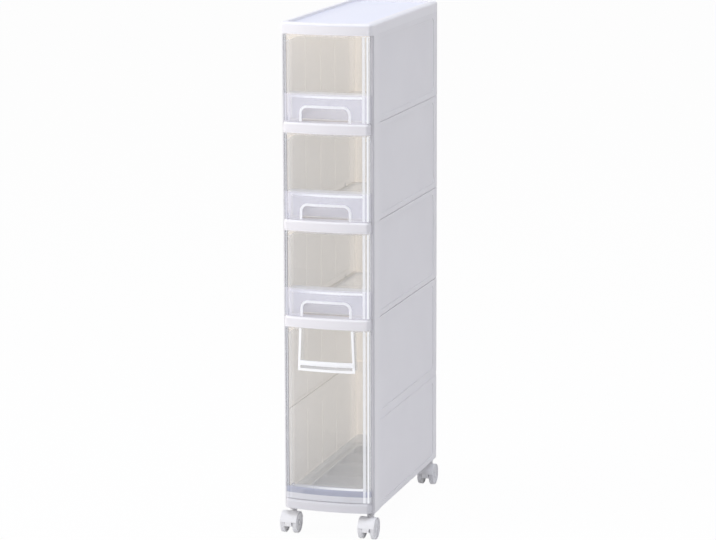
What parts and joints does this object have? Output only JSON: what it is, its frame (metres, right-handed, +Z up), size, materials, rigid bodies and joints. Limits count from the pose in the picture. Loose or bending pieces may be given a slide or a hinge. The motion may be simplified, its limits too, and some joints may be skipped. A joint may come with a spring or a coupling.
{
  "type": "drawer tower",
  "caption": "Slim white plastic drawer tower with a bowed front, small clear drawers over a tall one, and twin-wheel casters.",
  "frame": {"origin": "on the floor, under the middle of the tower", "axes": "+Z up; the drawers' fronts face -Y and pull out along -Y; +X points right when the front is looked at"},
  "size_m": [0.19, 0.4676, 0.99],
  "materials": {
    "white_plastic": "fine satin moulded surface",
    "ivory_plastic": "satin moulded sheet",
    "clear_plastic": "clear polished moulding",
    "caster_plastic": "semi-gloss moulding",
    "wheel_plastic": "semi-gloss hard wheel",
    "steel": "plain bright steel"
  },
  "bodies": {
    "cabinet": {"top_panel": "white_plastic", "shelf_frame_1": "white_plastic", "shelf_frame_2": "white_plastic", "shelf_frame_3": "white_plastic", "joint_frame": "white_plastic", "base_frame": "white_plastic", "left_panel_1": "white_plastic", "left_panel_2": "white_plastic", "left_panel_3": "white_plastic", "left_panel_4": "white_plastic", "left_panel_5": "white_plastic", "right_panel_1": "white_plastic", "right_panel_2": "white_plastic", "right_panel_3": "white_plastic", "right_panel_4": "white_plastic", "right_panel_5": "white_plastic", "back_panel_1": "ivory_plastic", "back_panel_2": "ivory_plastic", "back_panel_3": "ivory_plastic", "back_panel_4": "ivory_plastic", "back_panel_5": "ivory_plastic", "front_left_socket": "caster_plastic", "front_right_socket": "caster_plastic", "rear_left_socket": "caster_plastic", "rear_right_socket": "caster_plastic"},
    "small_drawer_1": {"small_drawer_1": "clear_plastic"},
    "small_drawer_2": {"small_drawer_2": "clear_plastic"},
    "small_drawer_3": {"small_drawer_3": "clear_plastic"},
    "tall_drawer": {"tall_drawer": "clear_plastic"},
    "front_left_caster": {"front_left_stem": "steel", "front_left_hood": "caster_plastic", "front_left_axle": "steel"},
    "front_left_outer_wheel": {"front_left_wheel_outer": "wheel_plastic"},
    "front_left_inner_wheel": {"front_left_wheel_inner": "wheel_plastic"},
    "front_right_caster": {"front_right_stem": "steel", "front_right_hood": "caster_plastic", "front_right_axle": "steel"},
    "front_right_outer_wheel": {"front_right_wheel_outer": "wheel_plastic"},
    "front_right_inner_wheel": {"front_right_wheel_inner": "wheel_plastic"},
    "rear_left_caster": {"rear_left_stem": "steel", "rear_left_hood": "caster_plastic", "rear_left_axle": "steel"},
    "rear_left_outer_wheel": {"rear_left_wheel_outer": "wheel_plastic"},
    "rear_left_inner_wheel": {"rear_left_wheel_inner": "wheel_plastic"},
    "rear_right_caster": {"rear_right_stem": "steel", "rear_right_hood": "caster_plastic", "rear_right_axle": "steel"},
    "rear_right_outer_wheel": {"rear_right_wheel_outer": "wheel_plastic"},
    "rear_right_inner_wheel": {"rear_right_wheel_inner": "wheel_plastic"}
  },
  "joints": [
    {"name": "small_drawer_1_slide", "type": "slide", "parent": "cabinet", "child": "small_drawer_1", "axis": [0, -1, 0], "range_m": [0, 0.35]},
    {"name": "small_drawer_2_slide", "type": "slide", "parent": "cabinet", "child": "small_drawer_2", "axis": [0, -1, 0], "range_m": [0, 0.35]},
    {"name": "small_drawer_3_slide", "type": "slide", "parent": "cabinet", "child": "small_drawer_3", "axis": [0, -1, 0], "range_m": [0, 0.35]},
    {"name": "tall_drawer_slide", "type": "slide", "parent": "cabinet", "child": "tall_drawer", "axis": [0, -1, 0], "range_m": [0, 0.35]},
    {"name": "front_left_swivel", "type": "hinge", "parent": "cabinet", "child": "front_left_caster", "pos_m": [-0.078, -0.19625, 0.045], "axis": [0, 0, 1], "continuous": true},
    {"name": "front_left_outer_wheel_spin", "type": "hinge", "parent": "front_left_caster", "child": "front_left_outer_wheel", "pos_m": [-0.09025, -0.21025, 0.02], "axis": [1, 0, 0], "continuous": true},
    {"name": "front_left_inner_wheel_spin", "type": "hinge", "parent": "front_left_caster", "child": "front_left_inner_wheel", "pos_m": [-0.06575, -0.21025, 0.02], "axis": [1, 0, 0], "continuous": true},
    {"name": "front_right_swivel", "type": "hinge", "parent": "cabinet", "child": "front_right_caster", "pos_m": [0.078, -0.19625, 0.045], "axis": [0, 0, 1], "continuous": true},
    {"name": "front_right_outer_wheel_spin", "type": "hinge", "parent": "front_right_caster", "child": "front_right_outer_wheel", "pos_m": [0.09025, -0.21025, 0.02], "axis": [1, 0, 0], "continuous": true},
    {"name": "front_right_inner_wheel_spin", "type": "hinge", "parent": "front_right_caster", "child": "front_right_inner_wheel", "pos_m": [0.06575, -0.21025, 0.02], "axis": [1, 0, 0], "continuous": true},
    {"name": "rear_left_swivel", "type": "hinge", "parent": "cabinet", "child": "rear_left_caster", "pos_m": [-0.078, 0.21875, 0.045], "axis": [0, 0, 1], "continuous": true},
    {"name": "rear_left_outer_wheel_spin", "type": "hinge", "parent": "rear_left_caster", "child": "rear_left_outer_wheel", "pos_m": [-0.09025, 0.20475, 0.02], "axis": [1, 0, 0], "continuous": true},
    {"name": "rear_left_inner_wheel_spin", "type": "hinge", "parent": "rear_left_caster", "child": "rear_left_inner_wheel", "pos_m": [-0.06575, 0.20475, 0.02], "axis": [1, 0, 0], "continuous": true},
    {"name": "rear_right_swivel", "type": "hinge", "parent": "cabinet", "child": "rear_right_caster", "pos_m": [0.078, 0.21875, 0.045], "axis": [0, 0, 1], "continuous": true},
    {"name": "rear_right_outer_wheel_spin", "type": "hinge", "parent": "rear_right_caster", "child": "rear_right_outer_wheel", "pos_m": [0.09025, 0.20475, 0.02], "axis": [1, 0, 0], "continuous": true},
    {"name": "rear_right_inner_wheel_spin", "type": "hinge", "parent": "rear_right_caster", "child": "rear_right_inner_wheel", "pos_m": [0.06575, 0.20475, 0.02], "axis": [1, 0, 0], "continuous": true}
  ]
}
